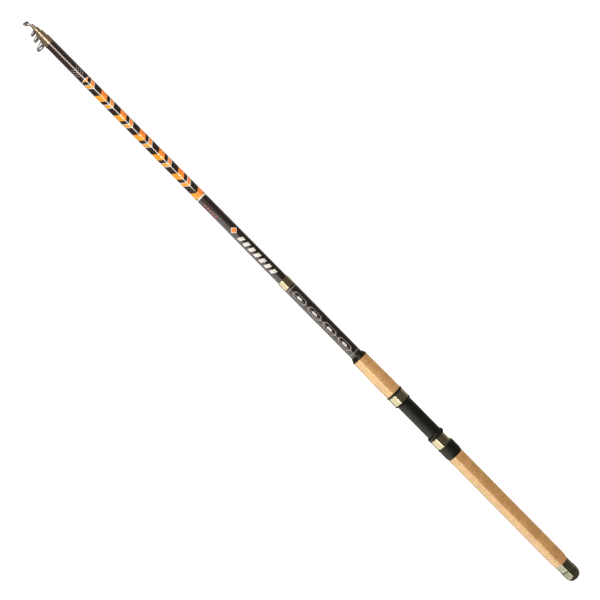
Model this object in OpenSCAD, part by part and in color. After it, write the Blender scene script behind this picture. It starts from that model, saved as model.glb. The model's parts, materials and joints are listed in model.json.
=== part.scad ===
// Telescopic fishing rod in six sections, upright, with the second section drawn out.
// The butt cap's flat end is centred on the origin, the tip points to +Z,
// and the line guides and the reel's side of the seat face -X. Millimetres.

/* [Butt cap] */
// Diameter of the flat end that the rod stands on
cap_end_d = 11; // [8:0.5:14]
// Largest diameter of the cap
cap_d = 23.6; // [20:0.2:24.4]
// Length of the cap that shows
cap_l = 18.5; // [15:0.5:26]
// Share of that length that is domed
cap_dome_share = 0.55; // [0.4:0.05:0.6]
// Thickness of the cap's solid end
cap_floor_t = 6.5; // [4:0.5:9]
// Length of the bevel round the cap's front edge
cap_bevel_l = 1.2; // [0.5:0.1:2]
// How far that bevel goes in
cap_bevel_depth = 1.2; // [0.5:0.1:1.6]
// Grip grooves round the cap
cap_groove_n = 3; // [1:1:4]
// Width of a grip groove
cap_groove_w = 0.9; // [0.6:0.1:1.2]
// Depth of a grip groove
cap_groove_depth = 0.4; // [0.2:0.1:0.7]
// Outside diameter of the cap's threaded stem
stem_d = 13.2; // [11:0.2:14.4]
// Length of the threaded stem
stem_l = 16; // [12:0.5:20]
// Depth of the stem's thread
stem_thread_depth = 0.5; // [0.3:0.1:0.8]
// Thread pitch of the stem
cap_pitch = 1.5; // [1:0.25:2]
// Bore of the hollow cap
cap_bore_d = 8; // [5:0.5:9]
// Thickness of the rubber pad on the stem
pad_t = 4; // [2:0.5:6]

/* [Butt ferrule] */
// Outside diameter of the ring behind the rear grip
ferrule_d = 22.6; // [20.5:0.2:24]
// Length of that ring
ferrule_l = 12.5; // [8:0.1:16]
// Length of the socket inside the handle tube
ferrule_socket_l = 14; // [10:0.5:24]

/* [Grips] */
// Outside diameter of the rear grip
grip_d = 25; // [23:0.2:28]
// Cork rings in the rear grip
rear_ring_n = 17; // [10:1:20]
// Length of a rear cork ring
rear_ring_l = 12.55; // [10:0.05:15]
// Diameter of the rear grip's tail end
grip_tail_d = 23; // [21.5:0.2:24.6]
// Length over which the tail thins
grip_tail_l = 7; // [3:0.5:9]
// Cork rings in the front grip
front_ring_n = 5; // [3:1:8]
// Length of a front cork ring
front_ring_l = 13.5; // [10:0.1:16]
// Diameter of the front grip where it meets the seat
front_rear_d = 24.9; // [23:0.1:27]
// Diameter of the front grip's belly
front_belly_d = 25.7; // [23:0.1:28]
// Diameter of the front grip's front end
front_end_d = 24.1; // [22:0.1:27]
// Length of the winding check
check_l = 7.1; // [4:0.1:12]
// Rear diameter of the winding check
check_d = 25; // [22:0.1:28]
// Length of the winding check's straight rim
check_rim_l = 1; // [0.5:0.1:2]
// Wall of the winding check's front edge
check_edge_t = 0.35; // [0.2:0.05:0.8]

/* [Reel seat] */
// Wall of the threaded barrel that the nut and the moving hood run on
barrel_wall = 1; // [0.9:0.05:1.1]
// Thickness of the arbor bands between tube and seat
arbor_t = 0.45; // [0.3:0.05:1]
// Length of an arbor band
arbor_l = 12; // [6:1:20]
// Arbor bands under the bed and the fixed hood
arbor_n = 2; // [2:1:3]
// Wall of the seat pipe under the bed
seat_wall = 2; // [1.8:0.05:3]
// Bare bed between the two hoods
bed_l = 59.4; // [45:0.1:75]
// Depth of the track that takes the reel's foot
bed_recess = 0.6; // [0.4:0.05:0.8]
// Width of that track
bed_w = 21; // [18:0.5:21.5]
// Width of the foot pockets in the hoods
pocket_w = 16; // [12:0.5:17]
// Pitch of the seat's thread
seat_pitch = 2; // [1.5:0.25:2.5]
// Depth of the seat's thread
seat_thread_depth = 0.4; // [0.3:0.05:0.5]
// Turns of the lock nut from open to closed
nut_turns = 3; // [2:1:4]
// Length of the lock nut
nut_l = 22; // [18:0.2:28]
// Wall of the lock nut
nut_wall = 3; // [2.4:0.1:3.4]
// How much thinner the nut's tail is, on the radius
nut_tail_drop = 1; // [0.4:0.1:1.2]
// Length over which the nut's tail thins
nut_tail_l = 6; // [3:0.5:9]
// Thickness of the washer between nut and hood
washer_t = 0.8; // [0.5:0.1:1.2]
// Radial width of that washer
washer_w = 1.4; // [0.8:0.1:1.6]
// Length of the hood that the metal band covers
hood_l = 14.7; // [10:0.1:18]
// Offset of the moving hood towards the reel's side
hood_offset = 1.05; // [0.8:0.05:1.3]
// Thickness of the hoods' metal bands
band_t = 0.5; // [0.4:0.05:0.8]
// Length of the moving hood's lip
lip_l = 6.8; // [5:0.1:9]
// Height of the hoods' lips above the bed
lip_h = 1.9; // [1.6:0.05:2.4]
// Thickness of the lips over the reel's foot
lip_t = 0.6; // [0.5:0.05:0.9]
// Thickness of the wall between hood and lip
web_t = 1; // [0.8:0.1:1.6]
// Length of the snap tongue that holds the hood to the nut
tongue_l = 5.5; // [4.5:0.1:7]
// Wall of that tongue
tongue_t = 0.6; // [0.5:0.05:0.8]
// Height of the tongue's snap bead
snap_h = 0.3; // [0.2:0.05:0.4]
// Length of the snap bead
snap_l = 1.4; // [1:0.1:2]
// Width of the two keyways that stop the hood turning
key_w = 3; // [2:0.1:4]
// Depth of those keyways
key_depth = 0.5; // [0.4:0.05:0.6]
// Length of the fixed hood's lip
fixed_lip_l = 4.3; // [4:0.1:7]
// Height of the fixed hood's moulding above the bed
moulding_h = 0.8; // [0.7:0.05:1]
// Length of the fixed hood that its metal band covers
fixed_hood_l = 14.2; // [12:0.1:20]
// Depth of the fixed hood's foot pocket
pocket_l = 14; // [8:0.5:15]
// Length of the trim ring in front of the fixed hood
trim_l = 3.2; // [2:0.1:6]
// Height of the trim ring above the seat pipe
trim_h = 1.8; // [1.3:0.05:2.4]

/* [Handle tube] */
// Outside diameter of the handle tube
tube_d = 18.2; // [18:0.05:19]
// Tube that shows in front of the winding check
tube_show_l = 149.2; // [100:0.1:220]
// Length of the metal ring on the tube's mouth
mouth_ring_l = 14.2; // [8:0.1:20]
// Thickness of that ring
mouth_ring_t = 0.45; // [0.3:0.05:0.5]
// How far the ring stands out from the tube, on the radius
mouth_ring_step = 0.12; // [0.05:0.01:0.2]

/* [Sliding sections] */
// Second section that shows when it is drawn out
second_show_l = 468.6; // [440:0.1:480]
// Its outside diameter where it leaves the handle
second_root_d = 16.5; // [15.8:0.05:16.6]
// Its outside diameter at its own mouth
second_tip_d = 15; // [14.6:0.05:15.3]
// Second section left showing when it is pushed home
second_stub_l = 4; // [2:0.5:10]
// Wall of each tube at its mouth, from the second section to the fifth
section_wall = [0.65, 0.65, 0.75, 1]; // [0.6:0.05:1.1]
// Travel of each of the four inner sections
draw_l = 473; // [420:0.5:476]
// Length that the third section keeps inside the second when drawn
lap_first = 70; // [60:1:84]
// How much shorter each next overlap is
lap_step = 8; // [4:0.5:10]
// Taper of the inner sections, diameter lost in each metre
taper_per_m = 2.4; // [2:0.05:2.6]
// Diameter of the rod at the very tip
tip_d = 2.2; // [1.6:0.1:2.8]

/* [Line guides] */
// Collar lengths, from the largest guide to the smallest
collar_l = [13.8, 9.7, 7.6]; // [5:0.1:14]
// Collar walls, from the largest guide to the smallest
collar_wall = [1.25, 1.24, 0.92]; // [0.9:0.02:1.5]
// Tube left bare in front of each collar
collar_stub = [0.4, 0.4, 0.4]; // [0.4:0.1:3]
// Outside diameter of each guide's wire ring
guide_d = [12.7, 8.2, 6.9]; // [6.4:0.1:16]
// Wire thickness of each guide
guide_wire_d = [1.5, 1.3, 1.2]; // [1:0.05:1.7]
// Thickness of the saddle strip that carries the wires
saddle_t = 0.5; // [0.4:0.05:0.8]
// Angle that the saddle strip covers on its collar
saddle_angle = 96; // [80:2:120]
// Angle of a brace's upper end round the wire ring
brace_top_angle = 36; // [24:2:44]
// Angle of a brace's foot round the collar
brace_foot_angle = 34; // [26:2:38]
// Radial thickness of the hard ring inserts
insert_t = 0.6; // [0.5:0.05:0.9]
// Length of the tip top's socket
socket_l = 7.3; // [5:0.1:10]
// Thickness of the socket's closed end
socket_end_t = 1; // [0.6:0.1:2]
// Diameter of the socket's neck, as a share of its diameter
socket_neck_share = 0.86; // [0.7:0.02:0.9]
// How far the socket overlaps the fifth section's mouth, on the radius
socket_lip = 0.3; // [0.15:0.05:0.5]
// Outside diameter of the tip top's wire ring
tip_ring_d = 8.6; // [7.6:0.1:9.4]
// Wire thickness of the tip top
tip_wire_d = 1.4; // [1:0.05:1.6]
// Offset of the tip ring's centre from the rod's axis
tip_ring_offset = 4.3; // [4:0.1:5]
// Height of the tip ring above the socket's front end
tip_ring_rise = 7.6; // [6:0.1:10]
// Forward lean of the tip ring
tip_ring_tilt = 16; // [0:1:24]
// Angle of the front legs round the tip ring
tip_leg_angle = 50; // [40:2:64]

/* [Clearances] */
// Glue line between bonded pieces
glue = 0.03; // [0.02:0.01:0.05]
// Radial gap of the tapered joints when drawn tight
fit = 0.05; // [0.04:0.01:0.1]
// Radial running gap of threads and sliding pieces
run = 0.15; // [0.1:0.01:0.2]
// Gap between faces that meet on moving pieces
face_gap = 0.15; // [0.1:0.01:0.25]

/* [Hidden] */
$fn = 96;
cork = "BurlyWood";
plastic = [0.11, 0.11, 0.11];
blank = [0.17, 0.12, 0.12];
nickel = [0.75, 0.71, 0.62];
gold = [0.78, 0.66, 0.42];
gunmetal = [0.42, 0.42, 0.36];
wire_grey = [0.3, 0.3, 0.3];

// Broken edges: of solid turned pieces, of thin metal and of the moulded lips
edge = 0.5;
band_edge = 0.2;
lip_round = 1.2;
// Moving lip's crown, in rounds of its edge: the height it starts at and its length
crown_start = 1.5;
crown_l = 2;

// Heights of the stack, from the butt's end to the handle tube's mouth
z_ferrule = cap_l;
z_rear = z_ferrule + ferrule_l;
z_seat = z_rear + rear_ring_n * rear_ring_l;
z_hood = z_seat + nut_l;
z_lip = z_hood + hood_l;
z_bed = z_lip + lip_l;
z_fixed = z_bed + bed_l;
z_band = z_fixed + fixed_lip_l;
z_trim = z_band + fixed_hood_l;
z_front = z_trim + trim_l;
z_check = z_front + front_ring_n * front_ring_l;
z_show = z_check + check_l;
z_mouth = z_show + tube_show_l;
z_socket = z_rear + ferrule_socket_l;

// Radii of the handle and of the seat on it
tube_r = tube_d / 2;
pilot_r = tube_r + glue;
barrel_r = pilot_r + barrel_wall;
seat_bore_r = tube_r + arbor_t + 2 * glue;
seat_r = seat_bore_r + seat_wall;
bed_r = seat_r - bed_recess;
lip_bore_r = seat_r + run;
lip_r = seat_r + lip_h;
pocket_r = lip_r - lip_t;
moulding_r = seat_r + moulding_h;

// Lock nut and moving hood. The hood's band runs off centre, close to the barrel behind
slide_r = barrel_r + run;
nut_r = slide_r + nut_wall;
tongue_r = slide_r + tongue_t;
bead_r = tongue_r + snap_h;
hood_r = slide_r + run + band_t + hood_offset;
hood_travel = nut_turns * seat_pitch;
z_shoulder = z_lip + web_t + hood_travel + face_gap;

// Second section: pushed home it stops on the butt ferrule's socket
second_travel = second_show_l - second_stub_l;
z_second = z_mouth + second_show_l;
z_second_base = z_socket + 2 * face_gap + second_travel;
second_taper = (second_root_d - second_tip_d) / 2 / second_show_l;
function second_r(z) = second_tip_d / 2 + second_taper * (z_second - z);

// Inner sections, numbered 0 to 3 from the third section to the tip
taper = taper_per_m / 2000;
function lap(i) = lap_first - i * lap_step;
function seat_z(i) = i == 0 ? z_second : seat_z(i - 1) + collar_l[i - 1] + collar_stub[i - 1];
function bore_tip_r(i) = i == 0 ? second_tip_d / 2 - section_wall[0]
    : section_tip_r(i - 1) - section_wall[i];
function base_z(i) = seat_z(i) - lap(i) - draw_l;
function base_r(i) = bore_tip_r(i) + taper * lap(i) - fit;
function section_tip_r(i) = base_r(i) - taper * (seat_z(i + 1) - base_z(i));
function collar_bore_r(i) = section_tip_r(i) + taper * (collar_l[i] + collar_stub[i]) + glue;
function collar_r(i) = collar_bore_r(i) + collar_wall[i];

// Tip top
z_tip = seat_z(3);
socket_r = bore_tip_r(3) + socket_lip;
tip_bore_r = tip_d / 2 + glue;
tip_end = z_tip + socket_l - socket_end_t;
z_tip_ring = z_tip + socket_l + tip_ring_rise;

// Turns a profile of [radius, height] points about the rod's axis
module turned(points) {
    rotate_extrude() polygon(points);
}

// Plain pipe between two heights
module pipe(inner, outer, z0, z1) {
    turned([[inner, z0], [outer, z0], [outer, z1], [inner, z1]]);
}

// Quarter round of a profile, from one compass angle to another
function arc(centre, radius, from, to, steps = 6) =
    [for (k = [0 : steps]) let (a = from + (to - from) * k / steps) centre + radius * [cos(a), sin(a)]];

// Straight wire between two points
module wire(from, to, radius) {
    along = to - from;
    span = norm(along);
    translate(from)
        rotate([0, acos(along.z / span), atan2(along.y, along.x)])
            cylinder(r = radius, h = span);
}

// Bent wire: straight to an elbow, a little swollen where it is bent, then straight on to its end
elbow_swell = 1.1;
module bent_wire(from, elbow, to, radius) {
    wire(from, elbow, radius);
    translate(elbow)
        sphere(r = radius * elbow_swell);
    wire(elbow, to, radius);
}

// Thread crests of a profile, as [radius, height] points going up: each crest climbs,
// runs level and falls at these shares of the pitch
thread_form = [0.15, 0.4, 0.6, 0.85];
function thread_rings(root, crest, z0, pitch, count) =
    [for (k = [0 : count - 1], i = [0 : 3])
        [i == 0 || i == 3 ? root : crest, z0 + (k + thread_form[i]) * pitch]];

// Dome of the cap, from its flat end to its largest girth
dome_l = cap_l * cap_dome_share;
dome_steps = 8;
function dome_r(z) = (cap_end_d + (cap_d - cap_end_d) * sqrt(1 - pow(1 - z / dome_l, 2))) / 2;
dome = [for (k = [0 : dome_steps]) let (z = dome_l * (1 - cos(k * 90 / dome_steps))) [dome_r(z), z]];
groove_step = (cap_l - cap_bevel_l - dome_l) / cap_groove_n;
groove_form = [[0, 0], [1, 0.25], [1, 0.75], [0, 1]];
cap_grooves = [for (k = [0 : cap_groove_n - 1], p = groove_form)
    [cap_d / 2 - p.x * cap_groove_depth, dome_l + (k + 0.5) * groove_step + (p.y - 0.5) * cap_groove_w]];

module butt_cap() {
    stem_r = stem_d / 2;
    stem_n = floor((stem_l - cap_pitch) / cap_pitch);
    color(gunmetal)
        difference() {
            turned(concat([[0, 0]], dome, cap_grooves,
                [[cap_d / 2, cap_l - cap_bevel_l], [cap_d / 2 - cap_bevel_depth, cap_l - face_gap],
                    [stem_r - stem_thread_depth, cap_l - face_gap]],
                thread_rings(stem_r - stem_thread_depth, stem_r, cap_l + cap_pitch / 2, cap_pitch, stem_n),
                [[stem_r - stem_thread_depth, cap_l + stem_l], [0, cap_l + stem_l]]));
            translate([0, 0, cap_floor_t])
                cylinder(d = cap_bore_d, h = cap_l + stem_l);
        }
}

// Rubber pad with a peg in the hollow stem, a cushion for a section that drops in loose
module cap_pad() {
    peg_r = cap_bore_d / 2 - run;
    pad_r = stem_d / 2 - stem_thread_depth;
    z0 = cap_l + stem_l + face_gap;
    color("DimGray")
        turned([[0, z0 - stem_l / 2], [peg_r, z0 - stem_l / 2], [peg_r, z0], [pad_r, z0],
            [pad_r, z0 + pad_t - edge], [pad_r - edge, z0 + pad_t], [0, z0 + pad_t]]);
}

module butt_ferrule() {
    bore_r = stem_d / 2 + run;
    plug_r = handle_bore_r - glue;
    color(gunmetal)
        turned([[bore_r, z_ferrule], [ferrule_d / 2 - edge, z_ferrule], [ferrule_d / 2, z_ferrule + edge],
            [ferrule_d / 2, z_rear], [plug_r, z_rear], [plug_r, z_socket], [bore_r, z_socket]]);
}

// Bore of the handle tube: straight, then tapered to seat the second section
handle_bore_r = second_r(z_second_base) + fit;
mouth_r = second_r(z_mouth) + fit;
z_rebate = z_mouth - mouth_ring_t;
rebate_r = tube_r + mouth_ring_step - mouth_ring_t - glue;

module handle_tube() {
    color(blank)
        turned([[handle_bore_r, z_rear], [tube_r, z_rear], [tube_r, z_mouth - mouth_ring_l],
            [rebate_r, z_mouth - mouth_ring_l], [rebate_r, z_rebate], [second_r(z_rebate) + fit, z_rebate],
            [handle_bore_r, z_second_base]]);
}

module mouth_ring() {
    outer = tube_r + mouth_ring_step;
    z0 = z_mouth - mouth_ring_l;
    color(nickel)
        turned([[rebate_r + glue, z0], [outer - band_edge, z0], [outer, z0 + band_edge],
            [outer, z_mouth - band_edge], [outer - band_edge, z_mouth], [mouth_r + fit, z_mouth],
            [second_r(z_rebate) + 2 * fit, z_rebate], [rebate_r + glue, z_rebate]]);
}

module rear_grip_corks() {
    bore_r = tube_r + glue;
    grip_r = grip_d / 2;
    color(cork) {
        turned([[bore_r, z_rear], [grip_tail_d / 2, z_rear], [grip_r, z_rear + grip_tail_l],
            [grip_r, z_rear + rear_ring_l - glue], [bore_r, z_rear + rear_ring_l - glue]]);
        for (k = [1 : rear_ring_n - 1])
            pipe(bore_r, grip_r, z_rear + k * rear_ring_l, z_rear + (k + 1) * rear_ring_l - glue);
    }
}

// Front grip: its first ring swells to the belly and the rest thin to the front
function front_r(k) = k == 0 ? front_rear_d / 2
    : (front_belly_d + (front_end_d - front_belly_d) * (k - 1) / (front_ring_n - 1)) / 2;

module front_grip_corks() {
    bore_r = tube_r + glue;
    color(cork)
        for (k = [0 : front_ring_n - 1]) {
            z0 = z_front + k * front_ring_l;
            z1 = z0 + front_ring_l - glue;
            turned([[bore_r, z0], [front_r(k), z0], [front_r(k + 1), z1], [bore_r, z1]]);
        }
}

module winding_check() {
    bore_r = tube_r + glue;
    color(plastic)
        turned([[bore_r, z_check], [check_d / 2 - band_edge, z_check], [check_d / 2, z_check + band_edge],
            [check_d / 2, z_check + check_rim_l], [bore_r + check_edge_t, z_show], [bore_r, z_show]]);
}

// Ring sector on the reel's side, where the reel's foot lies
module foot_space(inner, outer, width, z0, z1) {
    intersection() {
        pipe(inner, outer, z0, z1);
        translate([-outer - 1, -width / 2, z0 - 1])
            cube([outer + 1, width, z1 - z0 + 2]);
    }
}

module reel_seat_body() {
    thread_n = floor((nut_l + hood_travel) / seat_pitch);
    z_thread = z_seat + thread_n * seat_pitch;
    root = barrel_r - seat_thread_depth;
    z_step = z_shoulder + web_t;
    color(plastic)
        difference() {
            turned(concat([[pilot_r, z_seat], [root, z_seat]],
                thread_rings(root, barrel_r, z_seat, seat_pitch, thread_n),
                [[root, z_thread], [barrel_r, z_thread], [barrel_r, z_shoulder],
                    [seat_r - band_edge, z_shoulder], [seat_r, z_shoulder + band_edge], [seat_r, z_fixed],
                    [seat_r + edge, z_fixed + 2 * edge], [pocket_r, z_band - 2 * lip_round]],
                arc([lip_r - lip_round, z_band - lip_round], lip_round, -60, 60),
                [[pocket_r, z_band], [moulding_r, z_band], [moulding_r, z_trim], [seat_r, z_trim],
                    [seat_r, z_front], [seat_bore_r, z_front], [seat_bore_r, z_step], [pilot_r, z_step]]));
            foot_space(bed_r, lip_r, bed_w, z_shoulder - 1, z_fixed);
            foot_space(bed_r, pocket_r, pocket_w, z_fixed - 1, z_fixed + pocket_l);
            for (side = [0, 180])
                rotate([0, 0, 90 + side])
                    translate([barrel_r - key_depth, -key_w / 2, z_seat - 1])
                        cube([key_depth + 1, key_w, z_shoulder - z_seat + 1]);
        }
}

module seat_arbors() {
    z_first = z_shoulder + 2 * web_t;
    pitch = (z_front - z_first) / arbor_n;
    color("Tan")
        for (k = [0 : arbor_n - 1])
            pipe(tube_r + glue, seat_bore_r - glue, z_first + (k + 0.5) * pitch - arbor_l / 2,
                z_first + (k + 0.5) * pitch + arbor_l / 2);
}

// Liner of the moving hood: a lip in front on a wall, two keyed cheeks and a snap tongue behind.
// The cheeks reach past the axis by a share of the bore
cheek_share = 1 / 3;
module moving_hood_liner() {
    z_tongue = z_hood - tongue_l;
    key_x = barrel_r - key_depth + run;
    cheek_r = hood_r - band_t - glue;
    color(plastic)
        difference() {
            union() {
                turned([[slide_r, z_tongue], [tongue_r, z_tongue], [bead_r, z_tongue + snap_h],
                    [bead_r, z_tongue + snap_l - snap_h], [tongue_r, z_tongue + snap_l], [tongue_r, z_hood],
                    [slide_r, z_hood]]);
                difference() {
                    translate([-hood_offset, 0, z_hood])
                        cylinder(r = cheek_r, h = hood_l + web_t);
                    translate([0, 0, z_hood - 1])
                        cylinder(r = slide_r, h = hood_l + web_t + 2);
                    translate([slide_r * cheek_share, -hood_r, z_hood - 1])
                        cube([hood_r, 2 * hood_r, hood_l + 1]);
                }
                turned(concat([[slide_r, z_lip], [pocket_r, z_lip]],
                    arc([lip_r - lip_round, z_lip + crown_start * lip_round], lip_round, -60, 0),
                    arc([lip_r - lip_round, z_lip + (crown_start + crown_l) * lip_round], lip_round, 0, 70),
                    [[lip_bore_r, z_bed], [lip_bore_r, z_lip + web_t], [slide_r, z_lip + web_t]]));
                for (side = [0, 180])
                    rotate([0, 0, 90 + side])
                        translate([key_x, -key_w / 2 + run, z_hood])
                            cube([slide_r + tongue_t - key_x, key_w - 2 * run, hood_l + web_t]);
            }
            foot_space(bed_r / 2, pocket_r, pocket_w, z_hood + web_t, z_bed + 1);
        }
}

// Metal band of the moving hood, off centre towards the reel
module moving_hood_band() {
    inner = hood_r - band_t;
    color(nickel)
        translate([-hood_offset, 0, 0])
            turned([[inner, z_hood], [hood_r - band_edge, z_hood], [hood_r, z_hood + band_edge],
                [hood_r, z_lip - band_edge], [hood_r - band_edge, z_lip], [inner, z_lip]]);
}

module hood_washer() {
    color(nickel)
        pipe(tongue_r + glue, tongue_r + washer_w, z_hood - washer_t, z_hood);
}

module lock_nut() {
    z0 = z_seat + face_gap;
    z1 = z_hood - washer_t - face_gap;
    z_tongue = z_hood - tongue_l;
    z_catch = z_tongue + snap_l + face_gap;
    catch_r = bead_r + run;
    tail_steps = 6;
    tail = [for (k = [0 : tail_steps]) let (share = k / tail_steps)
        [nut_r - nut_tail_drop * pow(1 - share, 2), z0 + band_edge + (nut_tail_l - band_edge) * share]];
    color(plastic)
        turned(concat([[slide_r, z0], [nut_r - nut_tail_drop - band_edge, z0]], tail,
            [[nut_r, z1 - edge], [nut_r - edge, z1], [tongue_r + run, z1], [tongue_r + run, z_catch],
                [catch_r, z_catch - snap_h], [catch_r, z_tongue - face_gap],
                [slide_r, z_tongue - face_gap]]));
}

module fixed_hood_band() {
    outer = moulding_r + glue + band_t;
    color(nickel)
        turned([[moulding_r + glue, z_band], [outer - band_edge, z_band], [outer, z_band + band_edge],
            [outer, z_trim - band_edge], [outer - band_edge, z_trim], [moulding_r + glue, z_trim]]);
}

module seat_trim_ring() {
    outer = seat_r + trim_h;
    color(plastic)
        turned([[seat_r + glue, z_trim], [outer - edge, z_trim], [outer, z_trim + edge],
            [outer, z_front - edge], [outer - edge, z_front], [seat_r + glue, z_front]]);
}

module second_tube() {
    bore_base = bore_tip_r(0) + taper * (z_second - z_second_base);
    color(blank)
        turned([[bore_base, z_second_base], [second_r(z_second_base), z_second_base],
            [second_tip_d / 2, z_second], [bore_tip_r(0), z_second]]);
}

// Inner tube number i, hanging by its collar on the mouth of the section around it
module section_tube(i) {
    length = seat_z(i + 1) - base_z(i);
    color(blank)
        turned([[bore_tip_r(i + 1) + taper * length, base_z(i)], [base_r(i), base_z(i)],
            [section_tip_r(i), seat_z(i + 1)], [bore_tip_r(i + 1), seat_z(i + 1)]]);
}

module third_tube() { section_tube(0); }
module fourth_tube() { section_tube(1); }
module fifth_tube() { section_tube(2); }

// Solid tip section: its base follows the taper joint and it thins to the tip
module tip_rod() {
    seat_top = base_z(3) + lap(3);
    color(blank)
        turned([[0, base_z(3)], [base_r(3), base_z(3)], [base_r(3) - taper * lap(3), seat_top],
            [tip_d / 2, tip_end], [0, tip_end]]);
}

module guide_collar(i) {
    z0 = seat_z(i);
    z1 = z0 + collar_l[i];
    color(gold)
        turned([[collar_bore_r(i), z0], [collar_r(i) - band_edge, z0], [collar_r(i), z0 + band_edge],
            [collar_r(i), z1 - 2 * edge], [collar_r(i) - edge, z1], [collar_bore_r(i), z1]]);
}

module large_guide_collar() { guide_collar(0); }
module middle_guide_collar() { guide_collar(1); }
module small_guide_collar() { guide_collar(2); }

// Guide i's wire ring stands square to the rod, sunk a little into its saddle. Heights on a collar
// are shares of its length: the saddle's bare ends, the ring and the braces' feet
saddle_inset = 0.08;
ring_share = 0.5;
foot_share = 0.88;

// A brace is thinner than its ring. It meets the ring off its centre line, by shares of the wire's radius,
// and rises past the ring's insert before it bends
brace_share = 0.85;
brace_out_share = 0.4;
function insert_half(wire_r) = wire_r + insert_t / 3;
function brace_rise(wire_r) = insert_half(wire_r) + wire_r * brace_share * elbow_swell + glue;
function guide_wire_r(i) = guide_wire_d[i] / 2;
function guide_x(i) = -(collar_r(i) + glue + saddle_t + guide_d[i] / 2 - guide_wire_r(i) / 2);
function guide_z(i) = seat_z(i) + collar_l[i] * ring_share;

module guide_frame(i) {
    wire_r = guide_wire_r(i);
    ring_r = guide_d[i] / 2 - wire_r;
    saddle_r = collar_r(i) + glue + saddle_t;
    top_r = ring_r + wire_r * brace_out_share;
    top = [guide_x(i) - top_r * cos(brace_top_angle), top_r * sin(brace_top_angle), guide_z(i)];
    elbow_z = guide_z(i) + brace_rise(wire_r);
    foot = [-saddle_r * cos(brace_foot_angle), saddle_r * sin(brace_foot_angle),
        seat_z(i) + collar_l[i] * foot_share];
    color(wire_grey)
        difference() {
            union() {
                rotate([0, 0, 180 - saddle_angle / 2])
                    rotate_extrude(angle = saddle_angle)
                        translate([collar_r(i) - saddle_t, seat_z(i) + collar_l[i] * saddle_inset])
                            square([2 * saddle_t + glue, collar_l[i] * (1 - 2 * saddle_inset)]);
                translate([guide_x(i), 0, guide_z(i)])
                    rotate_extrude()
                        translate([ring_r, 0])
                            circle(r = wire_r);
                for (side = [-1, 1])
                    bent_wire([top.x, side * top.y, top.z], [top.x, side * top.y, elbow_z],
                        [foot.x, side * foot.y, foot.z], wire_r * brace_share);
            }
            translate([0, 0, seat_z(i) - 1])
                cylinder(r = collar_r(i) + glue, h = collar_l[i] + 2);
        }
}

module large_guide_frame() { guide_frame(0); }
module middle_guide_frame() { guide_frame(1); }
module small_guide_frame() { guide_frame(2); }

// Hard ring insert, grooved to sit in a wire ring
module ring_insert(ring_r, wire_r) {
    groove_r = ring_r - wire_r - glue;
    flange_r = groove_r + wire_r / 2;
    bore_r = groove_r - insert_t;
    half = insert_half(wire_r);
    round = insert_t / 2;
    color("SlateGray")
        turned(concat(arc([bore_r + round, half - round], round, 90, 180),
            arc([bore_r + round, -half + round], round, 180, 270),
            [[flange_r, -half], [flange_r, -wire_r], [groove_r, -wire_r],
                [groove_r, wire_r], [flange_r, wire_r], [flange_r, half]]));
}

module guide_ring(i) {
    translate([guide_x(i), 0, guide_z(i)])
        ring_insert(guide_d[i] / 2 - guide_wire_r(i), guide_wire_r(i));
}

module large_guide_ring() { guide_ring(0); }
module middle_guide_ring() { guide_ring(1); }
module small_guide_ring() { guide_ring(2); }

module tip_top_socket() {
    z_end = z_tip + socket_l;
    neck_r = socket_r * socket_neck_share;
    color(gold)
        difference() {
            turned([[0, z_tip], [socket_r - band_edge, z_tip], [socket_r, z_tip + band_edge],
                [socket_r, z_tip + socket_l / 2], [neck_r, z_tip + socket_l * 2 / 3],
                [neck_r, z_end - edge], [neck_r - edge, z_end], [0, z_end]]);
            translate([0, 0, z_tip - 1])
                cylinder(r = tip_bore_r, h = tip_end + glue - z_tip + 1);
        }
}

// Tip ring on three wires: one along the back and two spread in front, which meet on the socket's end.
// Places on the ring are given about its centre and lean with it
function leaning(p) = [p.x * cos(tip_ring_tilt) + p.z * sin(tip_ring_tilt) - tip_ring_offset, p.y,
    p.z * cos(tip_ring_tilt) - p.x * sin(tip_ring_tilt) + z_tip_ring];

module tip_top_frame() {
    wire_r = tip_wire_d / 2;
    ring_r = tip_ring_d / 2 - wire_r;
    z_end = z_tip + socket_l;
    root = [-wire_r / 2, 0, z_end - wire_r / 2];
    top_r = ring_r + wire_r * brace_out_share;
    drop = -brace_rise(wire_r);
    color(wire_grey)
        difference() {
            union() {
                translate([-tip_ring_offset, 0, z_tip_ring])
                    rotate([0, tip_ring_tilt, 0])
                        rotate_extrude()
                            translate([ring_r, 0])
                                circle(r = wire_r);
                for (angle = [0, 180 - tip_leg_angle, 180 + tip_leg_angle]) {
                    end = [top_r * cos(angle), top_r * sin(angle), 0];
                    bent_wire(root, leaning(end + [0, 0, drop]), leaning(end), wire_r * brace_share);
                }
            }
            translate([0, 0, z_tip])
                cylinder(r = socket_r + 1, h = socket_l + glue);
        }
}

module tip_top_ring() {
    translate([-tip_ring_offset, 0, z_tip_ring])
        rotate([0, tip_ring_tilt, 0])
            ring_insert(tip_ring_d / 2 - tip_wire_d / 2, tip_wire_d / 2);
}

butt_cap();
cap_pad();
butt_ferrule();
handle_tube();
rear_grip_corks();
reel_seat_body();
seat_arbors();
moving_hood_liner();
moving_hood_band();
hood_washer();
lock_nut();
fixed_hood_band();
seat_trim_ring();
front_grip_corks();
winding_check();
mouth_ring();
second_tube();
third_tube();
large_guide_collar();
large_guide_frame();
large_guide_ring();
fourth_tube();
middle_guide_collar();
middle_guide_frame();
middle_guide_ring();
fifth_tube();
small_guide_collar();
small_guide_frame();
small_guide_ring();
tip_rod();
tip_top_socket();
tip_top_frame();
tip_top_ring();
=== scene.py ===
import json
import math

import bpy
from bpy.props import FloatProperty, FloatVectorProperty, IntProperty, PointerProperty
from mathutils import Matrix, Vector, noise


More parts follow.
